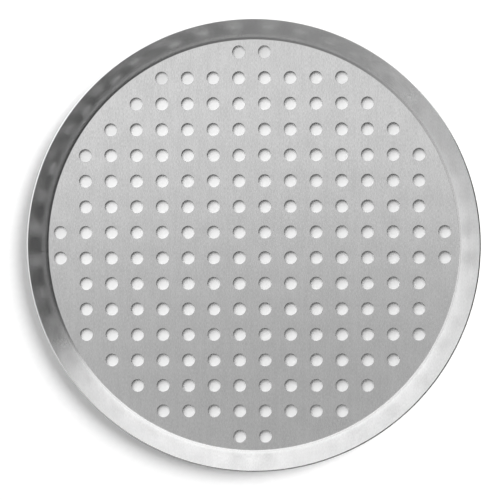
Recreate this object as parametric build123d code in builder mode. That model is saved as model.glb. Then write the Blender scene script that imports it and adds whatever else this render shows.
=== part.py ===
import os
from math import ceil, cos, radians, sin, tan

from build123d import *

# Perforated pizza pan, pressed from one sheet of aluminium.
# Millimetres, +Z up. The origin is the centre of the underside, on which the pan stands.

# Sheet and overall size
sheet_thickness = 1.2
rim_diameter = 330.2  # across the outside of the rim
overall_height = 18.0  # from the underside to the top of the rim
wall_lean = 32.0  # degrees by which the wall leans out from upright

# Bend and rim
knuckle_radius = 2.8  # inside the bend between floor and wall
rim_smoothing = 0.4  # rounding on both corners of the trimmed edge
largest_smoothing_share = 0.48  # of the sheet, so that the two roundings never meet

# Holes
hole_diameter = 9.5
hole_pitch = 19.0  # from centre to centre, along the rows and across them
plain_border = 3.5  # least floor between a hole and the bend, if the pattern were centred
pattern_shift_x = -1.0  # the punched pattern sits a little off the centre of the pressing
pattern_shift_y = 0.5

overrun = 1.0  # how far a cut runs past the sheet on each side

# Section of the sheet, with its corners still sharp. The rim's corners stand out by what
# their rounding takes off, so that the rounded rim has the stated width and height.
lean = radians(wall_lean)
smoothing = min(rim_smoothing, largest_smoothing_share * sheet_thickness)
rounded_off = smoothing * (sin(lean) + cos(lean) - 1)
rim_outer_radius = rim_diameter / 2 + rounded_off
rim_inner_radius = rim_outer_radius - sheet_thickness * cos(lean)
rim_inner_height = overall_height + rounded_off
rim_outer_height = rim_inner_height - sheet_thickness * sin(lean)
base_corner_radius = rim_outer_radius - rim_outer_height * tan(lean)
half_bend = (radians(90) - lean) / 2
floor_corner_radius = base_corner_radius - sheet_thickness * tan(half_bend)

# Hole centres, on a square grid with no hole at its middle
flat_floor_radius = floor_corner_radius - knuckle_radius * tan(half_bend)
farthest_hole = flat_floor_radius - plain_border - hole_diameter / 2
holes_in_row = 2 * ceil(farthest_hole / hole_pitch)
hole_places = [
    place
    for place in GridLocations(hole_pitch, hole_pitch, holes_in_row, holes_in_row)
    if place.position.length <= farthest_hole
]

base_corner = (base_corner_radius, 0)
rim_outer_corner = (rim_outer_radius, rim_outer_height)
rim_inner_corner = (rim_inner_radius, rim_inner_height)
floor_corner = (floor_corner_radius, sheet_thickness)


def corners_at(sketch, *points):
    """The sketch's corners nearest to the given points."""
    return [sketch.vertices().sort_by_distance(point)[0] for point in points]


with BuildPart() as pan:
    with BuildSketch(Plane.XZ) as section:
        with BuildLine():
            Polyline(
                (0, 0),
                base_corner,
                rim_outer_corner,
                rim_inner_corner,
                floor_corner,
                (0, sheet_thickness),
                close=True,
            )
        make_face()
        fillet(corners_at(section, base_corner), radius=knuckle_radius + sheet_thickness)
        fillet(corners_at(section, floor_corner), radius=knuckle_radius)
        fillet(corners_at(section, rim_outer_corner, rim_inner_corner), radius=smoothing)
    revolve(axis=Axis.Z)

    with BuildSketch(Plane.XY.offset(-overrun)):
        with Locations((pattern_shift_x, pattern_shift_y)):
            with Locations(*hole_places):
                Circle(hole_diameter / 2)
    extrude(amount=sheet_thickness + 2 * overrun, mode=Mode.SUBTRACT)

pan.part.label = "pan"

os.makedirs("parts", exist_ok=True)
export_step(pan.part, "parts/pan.step")

print("holes", len(hole_places))
print("diameter across the underside, at the sharp corner", round(2 * base_corner_radius, 1))
print("flat floor diameter inside the bend", round(2 * flat_floor_radius, 1))
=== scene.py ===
from math import ceil, cos, hypot, pi, radians, sin, tan

import bpy
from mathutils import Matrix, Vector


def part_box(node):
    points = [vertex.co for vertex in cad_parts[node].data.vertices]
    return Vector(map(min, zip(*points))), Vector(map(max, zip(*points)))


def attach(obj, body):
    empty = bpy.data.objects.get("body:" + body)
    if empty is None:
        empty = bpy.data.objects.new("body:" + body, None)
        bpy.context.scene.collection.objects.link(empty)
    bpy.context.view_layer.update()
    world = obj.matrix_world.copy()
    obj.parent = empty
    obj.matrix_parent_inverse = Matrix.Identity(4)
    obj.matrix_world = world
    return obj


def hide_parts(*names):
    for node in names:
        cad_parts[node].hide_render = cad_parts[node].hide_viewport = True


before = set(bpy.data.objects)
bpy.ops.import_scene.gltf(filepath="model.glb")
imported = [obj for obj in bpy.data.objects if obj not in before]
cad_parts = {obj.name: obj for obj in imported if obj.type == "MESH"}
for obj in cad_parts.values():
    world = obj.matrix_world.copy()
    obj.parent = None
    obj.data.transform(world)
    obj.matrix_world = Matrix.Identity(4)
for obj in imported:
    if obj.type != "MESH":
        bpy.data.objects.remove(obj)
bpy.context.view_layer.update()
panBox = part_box("pan")
mm = 0.001

# The pan: one aluminium blank, punched, pressed and trimmed. Its width and height are the solid's.
pan = {
    "sheet": 1.2 * mm,
    "wallLean": radians(32),  # out from upright
    "bendInside": 2.8 * mm,  # inside radius of a plain round bend, which sets where the flat floor ends
    "footBend": 0.7 * mm,  # the pressed bend is tighter than that at its foot
    "footTurn": radians(45),  # and from here on eases into the wall
    "edgeRounding": 0.08 * mm,  # on both corners of the trimmed edge
    "facesRound": 320,  # faces once round the pan
    "footSteps": 8,
    "easingSteps": 10,
    "wallSteps": 5,
    "edgeSteps": 2,
}
holes = {
    "diameter": 9.5 * mm,
    "pitch": 19.0 * mm,
    "plainBorder": 3.5 * mm,  # least floor between a hole and the bend, with the pattern centred
    "shift": (-1.0 * mm, 0.5 * mm),  # the punched pattern sits a little off centre
    "topRounding": 0.12 * mm,  # where the punch goes in
    "bottomRounding": 0.1 * mm,
    "facesRound": 36,
    "topSteps": 2,
    "bottomSteps": 1,
}
tiny = 0.01 * mm  # vertices nearer than this are one


def clearSelection():
    if bpy.context.object and bpy.context.object.mode != "OBJECT":
        bpy.ops.object.mode_set(mode="OBJECT")
    bpy.ops.object.select_all(action="DESELECT")


def makeActive(piece):
    clearSelection()
    piece.select_set(True)
    bpy.context.view_layer.objects.active = piece


def selectVertices(piece, test):
    bpy.ops.object.mode_set(mode="OBJECT")
    for part in (piece.data.vertices, piece.data.edges, piece.data.polygons):
        part.foreach_set("select", [False] * len(part))
    for vertex in piece.data.vertices:
        vertex.select = test(vertex.co)
    bpy.ops.object.mode_set(mode="EDIT")
    bpy.ops.mesh.select_mode(type="VERT")


# Section of the sheet, standing on the XZ plane from the last of the flat floor out to the rim
def modelSection(flatRadius, rimHeight):
    clearSelection()
    sheet, lean = pan["sheet"], pan["wallLean"]
    turn = pi / 2 - lean
    foot, footTurn = pan["footBend"], pan["footTurn"]
    easingTurn = turn - footTurn
    # radius that brings the eased bend onto the same wall as the plain one
    easing = pan["bendInside"] * (1 - cos(turn)) - foot * (cos(easingTurn) - cos(turn))
    easing = easing / (1 - cos(easingTurn))
    footEnd = (flatRadius + foot * sin(footTurn), sheet + foot * (1 - cos(footTurn)))
    easingCentre = (footEnd[0] - easing * sin(footTurn), footEnd[1] + easing * cos(footTurn))
    wallStart = easingCentre[1] - easing * cos(turn)
    bpy.ops.mesh.primitive_plane_add(
        size=sheet, location=(flatRadius - sheet / 2, 0, sheet / 2), rotation=(pi / 2, 0, 0)
    )
    section = bpy.context.object
    section.name = "panSection"
    bpy.ops.object.transform_apply(location=True, rotation=True, scale=True)

    # the bend: the outer end of the flat piece swings up, first tightly and then wide
    selectVertices(section, lambda co: co.x > flatRadius - tiny)
    bpy.ops.mesh.spin(
        steps=pan["footSteps"],
        angle=footTurn,
        center=(flatRadius, 0, sheet + foot),
        axis=(0, 1, 0),
        use_auto_merge=False,
    )
    bpy.ops.mesh.spin(
        steps=pan["easingSteps"],
        angle=easingTurn,
        center=(easingCentre[0], 0, easingCentre[1]),
        axis=(0, 1, 0),
        use_auto_merge=False,
    )

    # the wall, pulled out straight from the end of the bend
    step = (rimHeight - wallStart) / cos(lean) / pan["wallSteps"]
    rise = (step * sin(lean), 0, step * cos(lean))
    for _ in range(pan["wallSteps"]):
        bpy.ops.mesh.extrude_region_move(TRANSFORM_OT_translate={"value": rise})

    # both corners of the trimmed edge, still selected
    bpy.ops.mesh.bevel(offset=pan["edgeRounding"], segments=pan["edgeSteps"], affect="VERTICES")

    # only the outline is spun, open where the floor joins it
    bpy.ops.mesh.select_mode(type="EDGE")
    bpy.ops.mesh.select_all(action="SELECT")
    bpy.ops.mesh.region_to_loop()
    bpy.ops.mesh.select_all(action="INVERT")
    bpy.ops.mesh.delete(type="EDGE")
    selectVertices(section, lambda co: co.x < flatRadius - sheet + tiny)
    bpy.ops.mesh.select_mode(type="EDGE")
    bpy.ops.mesh.delete(type="EDGE_FACE")
    return section


def spinSection(section):
    selectVertices(section, lambda co: True)
    bpy.ops.mesh.spin(
        steps=pan["facesRound"], angle=2 * pi, center=(0, 0, 0), axis=(0, 0, 1), use_auto_merge=False
    )
    bpy.ops.mesh.select_all(action="SELECT")
    bpy.ops.mesh.remove_doubles(threshold=tiny)
    bpy.ops.object.mode_set(mode="OBJECT")
    section.name = "panWall"
    return section


# One punched hole: a short tube that flares into a rounded edge above and below
def modelHole():
    sheet, radius = pan["sheet"], holes["diameter"] / 2
    rings = []  # radius and height of each ring, from the top down
    for step in range(holes["topSteps"] + 1):
        turn = pi / 2 * step / holes["topSteps"]
        rounding = holes["topRounding"]
        rings.append((radius + rounding * (1 - sin(turn)), sheet - rounding * (1 - cos(turn))))
    for step in range(holes["bottomSteps"] + 1):
        turn = pi / 2 * (1 - step / holes["bottomSteps"])
        rounding = holes["bottomRounding"]
        rings.append((radius + rounding * (1 - sin(turn)), rounding * (1 - cos(turn))))

    clearSelection()
    bpy.ops.mesh.primitive_circle_add(
        vertices=holes["facesRound"], radius=rings[0][0], location=(0, 0, rings[0][1])
    )
    hole = bpy.context.object
    hole.name = "punchedHole"
    bpy.ops.object.transform_apply(location=True)
    bpy.ops.object.mode_set(mode="EDIT")
    bpy.ops.mesh.select_all(action="SELECT")
    for above, below in zip(rings, rings[1:]):
        bpy.ops.mesh.extrude_region_move(
            TRANSFORM_OT_translate={"value": (0, 0, below[1] - above[1])}
        )
        narrowing = below[0] / above[0]
        bpy.ops.transform.resize(value=(narrowing, narrowing, 1), center_override=(0, 0, 0))
    bpy.ops.object.mode_set(mode="OBJECT")
    return hole


def holePlaces(flatRadius):
    farthest = flatRadius - holes["plainBorder"] - holes["diameter"] / 2
    half = ceil(farthest / holes["pitch"])
    steps = [(step + 0.5) * holes["pitch"] for step in range(-half, half)]
    return [
        (x + holes["shift"][0], y + holes["shift"][1])
        for y in steps
        for x in steps
        if hypot(x, y) <= farthest
    ]


def copyHoles(hole, places):
    copies = []
    for x, y in places:
        copied = hole.copy()
        copied.data = hole.data.copy()
        copied.location = (x, y, 0)
        bpy.context.scene.collection.objects.link(copied)
        copies.append(copied)
    bpy.data.objects.remove(hole)
    return copies


# The floor is filled in between the wall and the holes, above and below
def fillFloor(piece, floorRadius, heights):
    for height in heights:
        selectVertices(
            piece,
            lambda co: abs(co.z - height) < tiny and hypot(co.x, co.y) < floorRadius + tiny,
        )
        bpy.ops.mesh.select_mode(type="EDGE")
        bpy.ops.mesh.fill(use_beauty=True)
    bpy.ops.mesh.select_all(action="SELECT")
    bpy.ops.mesh.normals_make_consistent(inside=False)
    bpy.ops.object.mode_set(mode="OBJECT")


def modelPan():
    sheet, lean = pan["sheet"], pan["wallLean"]
    roundedOff = pan["edgeRounding"] * (sin(lean) + cos(lean) - 1)  # what the rounding takes off the rim
    outerRim = panBox[1].x + roundedOff
    innerRimHeight = panBox[1].z + roundedOff
    outerRimHeight = innerRimHeight - sheet * sin(lean)
    halfBend = (pi / 2 - lean) / 2
    baseCorner = outerRim - outerRimHeight * tan(lean)
    flatRadius = baseCorner - (sheet + pan["bendInside"]) * tan(halfBend)
    wall = spinSection(modelSection(flatRadius, innerRimHeight))
    places = holePlaces(flatRadius)
    copies = copyHoles(modelHole(), places)

    makeActive(wall)
    for copied in copies:
        copied.select_set(True)
    bpy.ops.object.join()
    piece = bpy.context.object
    piece.name = "perforatedPan"
    piece.data.name = "perforatedPan"
    fillFloor(piece, flatRadius - sheet, (sheet, 0))

    # large flat faces keep their own normals, and the small rounded ones turn between them
    bpy.ops.object.shade_smooth()
    weighted = piece.modifiers.new("flatFloor", "WEIGHTED_NORMAL")
    weighted.mode = "FACE_AREA"
    weighted.weight = 100
    bpy.ops.object.modifier_apply(modifier=weighted.name)
    print("pan modelled:", len(places), "holes,", len(piece.data.polygons), "faces")
    return piece, flatRadius


# Bores and the trimmed edge were sheared, so they take the second material
def markCutEdges(piece, flatRadius):
    sheet, lean = pan["sheet"], pan["wallLean"]
    mostRise = 0.5  # of a normal in a bore, whose faces stand upright
    leastAlong = 0.6  # of a normal on the trimmed edge, along the slope of the wall
    for face in piece.data.polygons:
        reach = hypot(face.center.x, face.center.y)
        if reach < flatRadius:
            cut = abs(face.normal.z) < mostRise
        else:
            outward = (face.normal.x * face.center.x + face.normal.y * face.center.y) / reach
            along = outward * sin(lean) + face.normal.z * cos(lean)
            cut = along > leastAlong and face.center.z > panBox[1].z - sheet
        face.material_index = 1 if cut else 0


# Satin rolled aluminium. The grain was rolled into the flat blank, along Y, and goes up the wall with it.
finish = {
    "darkTone": 0.83,
    "lightTone": 0.951,
    "toneSpan": (0.4, 0.6),  # noise that gives the dark tone and the light one
    "roughness": 0.22,
    "roughnessSpread": 0.03,
    "anisotropy": 0.35,  # the sheet blurs what it mirrors more across the grain than along it
    "threadWidth": 0.5 * mm,  # the finest grain lines
    "threadLength": 2.2 * mm,
    "streakWidth": 1.0 * mm,
    "streakLength": 8 * mm,
    "bandWidth": 3.5 * mm,
    "bandLength": 30 * mm,
    "cloudSize": 14 * mm,
    "threadShare": 0.56,  # how much each pattern adds to the tone
    "streakShare": 0.2,
    "bandShare": 0.1,
    "cloudShare": 0.14,
    "grainDepth": 0.04 * mm,
    "frontWay": (0.57, -0.82, 0),  # the wall is duller on this side, where it was rubbed down
    "frontTurn": (-0.3, 0.15),  # cosines of the angle from it where that begins and is complete
    "frontHeights": (1.5 * mm, 4 * mm),  # and the heights
    "frontRoughness": 0.16,
    "bendShadeTone": 0.65,  # painted shade: the bend is drawn darker, in place of the shade at the foot of the wall
    "bendShadeRise": (1.3 * mm, 1.5 * mm),  # heights where that begins and is complete
    "bendShadeFade": (2.0 * mm, 3.0 * mm),  # and where it fades and ends
    "waveSize": 55 * mm,  # the sheet is never quite flat
    "waveDepth": 0.03 * mm,
}
cutEdge = {
    "darkTone": 0.64,
    "lightTone": 0.76,
    "lineSpan": (0.3, 0.7),  # noise that gives the dark tone and the light one
    "smoothest": 0.20,
    "roughest": 0.28,
    "lineWidth": 0.12 * mm,  # shear marks run through the sheet
    "lineLength": 1.5 * mm,
    "lineDepth": 0.002 * mm,
}


def newMaterial(name):
    material = bpy.data.materials.new(name)
    material.use_nodes = True
    tree = material.node_tree
    return material, tree, tree.nodes["Principled BSDF"]


# Gives a socket a number, a grey tone or what another node puts out
def feed(tree, socket, value):
    if not isinstance(value, (int, float)):
        tree.links.new(value, socket)
    elif socket.type == "RGBA":
        socket.default_value = (value, value, value, 1)
    else:
        socket.default_value = value


def addMath(tree, operation, first, second):
    node = tree.nodes.new("ShaderNodeMath")
    node.operation = operation
    feed(tree, node.inputs[0], first)
    feed(tree, node.inputs[1], second)
    return node.outputs["Value"]


def addShared(tree, first, firstShare, second, secondShare):
    return addMath(
        tree,
        "ADD",
        addMath(tree, "MULTIPLY", first, firstShare),
        addMath(tree, "MULTIPLY", second, secondShare),
    )


def addVectorMath(tree, operation, vector):
    node = tree.nodes.new("ShaderNodeVectorMath")
    node.operation = operation
    tree.links.new(vector, node.inputs[0])
    return node


def addSplit(tree, vector):
    node = tree.nodes.new("ShaderNodeSeparateXYZ")
    tree.links.new(vector, node.inputs["Vector"])
    return node.outputs


def addNoise(tree, place, width, length, depth, detail=2):
    mapping = tree.nodes.new("ShaderNodeMapping")
    mapping.inputs["Scale"].default_value = (1 / width, 1 / length, 1 / depth)
    tree.links.new(place, mapping.inputs["Vector"])
    noise = tree.nodes.new("ShaderNodeTexNoise")
    noise.inputs["Scale"].default_value = 1
    noise.inputs["Detail"].default_value = detail
    tree.links.new(mapping.outputs["Vector"], noise.inputs["Vector"])
    return noise.outputs["Fac"]


# Runs from low to high while the value crosses the span, and holds still outside it
def addRange(tree, value, span, low, high):
    node = tree.nodes.new("ShaderNodeMapRange")
    node.inputs["From Min"].default_value = span[0]
    node.inputs["From Max"].default_value = span[1]
    node.inputs["To Min"].default_value = low
    node.inputs["To Max"].default_value = high
    tree.links.new(value, node.inputs["Value"])
    return node.outputs["Result"]


def addMix(tree, share, first, second):
    node = tree.nodes.new("ShaderNodeMix")
    node.data_type = "RGBA"
    feed(tree, node.inputs[0], share)
    feed(tree, node.inputs[6], first)  # the two colour sockets
    feed(tree, node.inputs[7], second)
    return node.outputs[2]


def addBump(tree, height, depth, normal=None):
    node = tree.nodes.new("ShaderNodeBump")
    node.inputs["Strength"].default_value = 1
    node.inputs["Distance"].default_value = depth
    tree.links.new(height, node.inputs["Height"])
    if normal:
        tree.links.new(normal, node.inputs["Normal"])
    return node.outputs["Normal"]


# Where each point of the pan lay on the flat blank: the wall is laid out level with the floor
def addBlankPlace(tree, place):
    level = addVectorMath(tree, "MULTIPLY", place)
    level.inputs[1].default_value = (1, 1, 0)
    reach = addVectorMath(tree, "LENGTH", level.outputs["Vector"])
    perHeight = tan((pi / 2 - pan["wallLean"]) / 2)  # what a rise adds to the wall's reach, laid out
    added = addMath(tree, "MULTIPLY", addSplit(tree, place)["Z"], perHeight)
    share = addMath(tree, "DIVIDE", added, reach.outputs["Value"])
    flat = addVectorMath(tree, "SCALE", level.outputs["Vector"])
    tree.links.new(addMath(tree, "ADD", share, 1), flat.inputs["Scale"])
    return flat.outputs["Vector"]


# Extra roughness on one side of the wall, none on the floor
def addFrontWall(tree, place):
    way = addVectorMath(tree, "NORMALIZE", place)
    facing = addVectorMath(tree, "DOT_PRODUCT", way.outputs["Vector"])
    facing.inputs[1].default_value = finish["frontWay"]
    onWall = addRange(tree, addSplit(tree, place)["Z"], finish["frontHeights"], 0, 1)
    towards = addRange(
        tree, facing.outputs["Value"], finish["frontTurn"], 0, finish["frontRoughness"]
    )
    return addMath(tree, "MULTIPLY", onWall, towards)


# How far each point takes the painted shade of the bend: none on the floor, all at the foot of the wall,
# none further up
def addPaintedBendShade(tree, place):
    height = addSplit(tree, place)["Z"]
    rising = addRange(tree, height, finish["bendShadeRise"], 0, 1)
    fading = addRange(tree, height, finish["bendShadeFade"], 1, 0)
    return addMath(tree, "MULTIPLY", rising, fading)


def makeAluminium():
    material, tree, shader = newMaterial("satinAluminium")
    place = tree.nodes.new("ShaderNodeTexCoord").outputs["Object"]
    blank = addBlankPlace(tree, place)
    far = 1  # the blank has no depth, so the third scale has nothing to act on
    threads = addNoise(tree, blank, finish["threadWidth"], finish["threadLength"], far)
    streaks = addNoise(tree, blank, finish["streakWidth"], finish["streakLength"], far)
    bands = addNoise(tree, blank, finish["bandWidth"], finish["bandLength"], far, 0)
    clouds = addNoise(tree, blank, finish["cloudSize"], finish["cloudSize"], far, 0)
    grain = addShared(tree, threads, finish["threadShare"], streaks, finish["streakShare"])
    broad = addShared(tree, bands, finish["bandShare"], clouds, finish["cloudShare"])
    tone = addMath(tree, "ADD", grain, broad)

    lightness = addRange(tree, tone, finish["toneSpan"], 0, 1)
    colour = addMix(tree, lightness, finish["darkTone"], finish["lightTone"])
    # painted shade: the bend at the foot of the wall is darkened
    colour = addMix(tree, addPaintedBendShade(tree, place), colour, finish["bendShadeTone"])
    tree.links.new(colour, shader.inputs["Base Color"])

    smooth = finish["roughness"] - finish["roughnessSpread"] / 2
    rough = finish["roughness"] + finish["roughnessSpread"] / 2
    roughness = addRange(tree, tone, finish["toneSpan"], rough, smooth)
    roughness = addMath(tree, "ADD", roughness, addFrontWall(tree, place))
    tree.links.new(roughness, shader.inputs["Roughness"])

    waves = addNoise(tree, place, finish["waveSize"], finish["waveSize"], finish["waveSize"], 1)
    wavy = addBump(tree, waves, finish["waveDepth"])
    grained = addBump(tree, grain, finish["grainDepth"], wavy)
    tree.links.new(grained, shader.inputs["Normal"])

    shader.inputs["Metallic"].default_value = 1
    shader.inputs["Anisotropic"].default_value = finish["anisotropy"]
    acrossGrain = tree.nodes.new("ShaderNodeCombineXYZ")
    acrossGrain.inputs["X"].default_value = 1
    tree.links.new(acrossGrain.outputs["Vector"], shader.inputs["Tangent"])
    return material


# The same metal where it was sheared: duller, with fine marks that run through the sheet
def makeCutEdge():
    material, tree, shader = newMaterial("shearedAluminium")
    place = tree.nodes.new("ShaderNodeTexCoord").outputs["Object"]
    width, length = cutEdge["lineWidth"], cutEdge["lineLength"]
    lines = addNoise(tree, place, width, width, length)
    lightness = addRange(tree, lines, cutEdge["lineSpan"], 0, 1)
    colour = addMix(tree, lightness, cutEdge["darkTone"], cutEdge["lightTone"])
    tree.links.new(colour, shader.inputs["Base Color"])
    roughness = addRange(tree, lines, cutEdge["lineSpan"], cutEdge["roughest"], cutEdge["smoothest"])
    tree.links.new(roughness, shader.inputs["Roughness"])
    tree.links.new(addBump(tree, lines, cutEdge["lineDepth"]), shader.inputs["Normal"])
    shader.inputs["Metallic"].default_value = 1
    return material


panPiece, flatRadius = modelPan()
panPiece.data.materials.clear()
panPiece.data.materials.append(makeAluminium())
panPiece.data.materials.append(makeCutEdge())
markCutEdges(panPiece, flatRadius)
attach(panPiece, "root")
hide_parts("pan")
print("pan finished in:", ", ".join(material.name for material in panPiece.data.materials))

# Ground: a disc under the pan, seen through the holes, inside a wide ring
ground = {
    "discRadius": 150 * mm,
    "discDrop": 1.2 * mm,
    "discTilt": (radians(0.10), radians(0.18), 0),  # the table isn't quite level under the pan
    "ringRadius": 6,
    "ringDrop": 0.02 * mm,
    "facesRound": 128,
    "darkTone": 0.90,
    "lightTone": 0.92,
    "mottleSize": 4 * mm,
    "mottleSpan": (0.3, 0.7),  # noise that gives the dark tone and the light one
}


def makePaper():
    material, tree, shader = newMaterial("whiteGround")
    place = tree.nodes.new("ShaderNodeTexCoord").outputs["Object"]
    size = ground["mottleSize"]
    mottle = addNoise(tree, place, size, size, size)
    lightness = addRange(tree, mottle, ground["mottleSpan"], 0, 1)
    colour = addMix(tree, lightness, ground["darkTone"], ground["lightTone"])
    tree.links.new(colour, shader.inputs["Base Color"])
    shader.inputs["Roughness"].default_value = 1
    shader.inputs["Specular IOR Level"].default_value = 0
    return material


def makeGround():
    clearSelection()
    bpy.ops.mesh.primitive_circle_add(
        vertices=ground["facesRound"],
        radius=ground["discRadius"],
        fill_type="NGON",
        location=(0, 0, -ground["discDrop"]),
        rotation=ground["discTilt"],
    )
    disc = bpy.context.object
    disc.name = "groundUnderPan"
    clearSelection()
    bpy.ops.mesh.primitive_circle_add(
        vertices=ground["facesRound"], radius=ground["discRadius"], location=(0, 0, -ground["ringDrop"])
    )
    ring = bpy.context.object
    ring.name = "groundAround"
    widening = ground["ringRadius"] / ground["discRadius"]
    bpy.ops.object.mode_set(mode="EDIT")
    bpy.ops.mesh.select_all(action="SELECT")
    bpy.ops.mesh.extrude_region_move()
    bpy.ops.transform.resize(value=(widening, widening, 1))
    bpy.ops.mesh.select_all(action="SELECT")
    bpy.ops.mesh.normals_make_consistent(inside=False)
    bpy.ops.object.mode_set(mode="OBJECT")
    paper = makePaper()
    for piece in (disc, ring):
        piece.data.materials.append(paper)
    return disc, ring


groundDisc, groundRing = makeGround()
print("ground laid:", groundDisc.name, "and", groundRing.name)

# Camera, above the pan and a little off its centre
view = {
    "place": (12.2 * mm, 16.8 * mm, 850 * mm),
    "turn": (radians(-1.36), radians(0.99), radians(-0.17)),
    "lens": 82.47,
}
clearSelection()
bpy.ops.object.camera_add(location=view["place"], rotation=view["turn"])
camera = bpy.context.object
camera.name = "camera"
camera.data.lens = view["lens"]
bpy.context.scene.camera = camera
print("camera placed", round(view["place"][2], 3), "m above the ground")

# Studio: what the metal mirrors. Pale behind the pan, falling away to dark in front and on the right.
# Heights are sines of the angle above the level.
studio = {
    "brightness": 1.83,
    "toneAround": (  # degrees from +X towards +Y, and the tone near the ground in that direction
        (-180, 0.76),
        (-165, 0.65),
        (-150, 0.55),
        (-135, 0.42),
        (-120, 0.24),
        (-90, 0.17),
        (-60, 0.08),
        (-40, 0.04),
        (15, 0.04),
        (27, 0.16),
        (38, 0.92),
        (65, 1.08),
        (110, 0.99),
        (145, 0.97),
        (180, 0.76),
    ),
    "horizonTone": 0.55,  # share of the light left close to the ground
    "horizonSpan": (0.07, 0.24),  # heights over which the full light comes back
    "fadeSpan": (0.26, 0.75),  # heights over which the surroundings fade out
    "overheadSpan": (0.74, 0.96),  # and over which the light overhead comes in
    "overheadFront": 0.41,
    "overheadBack": 0.705,  # brighter overhead towards the back
    "overheadStep": 0.08,  # half the width of the change between the two
    "overheadRight": -0.12,  # a little brighter on the left
    "overheadSides": 2.0,  # and towards both sides, by the square of the distance
    "widestSide": 0.04,  # the square past which that grows no more
    "backdrop": 1.0,  # what the camera itself sees past the ground
}
lamps = {  # angles in degrees
    "underPan": {"azimuth": 116, "height": 46, "halfWidth": 24, "brightness": 5.0},
    "aroundPan": {"azimuth": 29, "height": 53, "halfWidth": 17, "brightness": 11.6},
    "shadowFill": {"azimuth": 215, "height": 60, "halfWidth": 25, "brightness": 0.4},
    "distance": 2.5,
}


def makeStudio():
    world = bpy.data.worlds.new("studio")
    world.use_nodes = True
    tree = world.node_tree
    background = tree.nodes["Background"]
    across, back, up = addSplit(tree, tree.nodes.new("ShaderNodeTexCoord").outputs["Generated"])

    ramp = tree.nodes.new("ShaderNodeValToRGB")
    azimuth = addMath(tree, "ARCTAN2", back, across)
    tree.links.new(addRange(tree, azimuth, (-pi, pi), 0, 1), ramp.inputs["Fac"])
    stops = ramp.color_ramp.elements
    for degrees, _ in studio["toneAround"][1:-1]:
        stops.new((degrees + 180) / 360)
    for stop, (_, tone) in zip(stops, studio["toneAround"]):
        stop.color = (tone, tone, tone, 1)
    around = addMath(tree, "MULTIPLY", ramp.outputs["Color"], studio["brightness"])
    around = addMath(tree, "MULTIPLY", around, addRange(tree, up, studio["fadeSpan"], 1, 0))
    horizon = addRange(tree, up, studio["horizonSpan"], studio["horizonTone"], 1)
    around = addMath(tree, "MULTIPLY", around, horizon)

    step = studio["overheadStep"]
    overhead = addRange(tree, back, (-step, step), studio["overheadFront"], studio["overheadBack"])
    sideways = addMath(tree, "MULTIPLY", across, studio["overheadRight"])
    overhead = addMath(tree, "ADD", overhead, sideways)
    sides = addMath(tree, "MINIMUM", addMath(tree, "MULTIPLY", across, across), studio["widestSide"])
    overhead = addMath(tree, "ADD", overhead, addMath(tree, "MULTIPLY", sides, studio["overheadSides"]))
    overhead = addMath(tree, "MAXIMUM", overhead, 0)
    share = addRange(tree, up, studio["overheadSpan"], 0, 1)
    overhead = addMath(tree, "MULTIPLY", overhead, share)

    # the camera sees the plain backdrop, and everything else the light
    light = addMath(tree, "ADD", around, overhead)
    seen = tree.nodes.new("ShaderNodeLightPath").outputs["Is Camera Ray"]
    unseen = addMath(tree, "SUBTRACT", 1, seen)
    strength = addShared(tree, unseen, light, seen, studio["backdrop"])
    tree.links.new(strength, background.inputs["Strength"])
    background.inputs["Color"].default_value = (1, 1, 1, 1)
    bpy.context.scene.world = world


# A round lamp that lights only the ground: it sets the white table and the shadows on it
def addLamp(name, values, receiver):
    height, azimuth, halfWidth = (radians(values[key]) for key in ("height", "azimuth", "halfWidth"))
    distance = lamps["distance"]
    place = (
        distance * cos(height) * cos(azimuth),
        distance * cos(height) * sin(azimuth),
        distance * sin(height),
    )
    clearSelection()
    bpy.ops.object.light_add(type="AREA", location=place, rotation=(0, pi / 2 - height, azimuth))
    lamp = bpy.context.object
    lamp.name = name
    lamp.data.shape = "DISK"
    lamp.data.size = 2 * distance * tan(halfWidth)
    lamp.data.energy = values["brightness"] * (pi * lamp.data.size / 2) ** 2
    lamp.visible_camera = False
    lit = bpy.data.collections.new(name)
    lit.objects.link(receiver)
    lamp.light_linking.receiver_collection = lit


makeStudio()
addLamp("lampUnderPan", lamps["underPan"], groundDisc)
addLamp("lampAroundPan", lamps["aroundPan"], groundRing)
addLamp("lampShadowFill", lamps["shadowFill"], groundRing)
bpy.context.scene.view_settings.view_transform = "Standard"
print("studio lit")
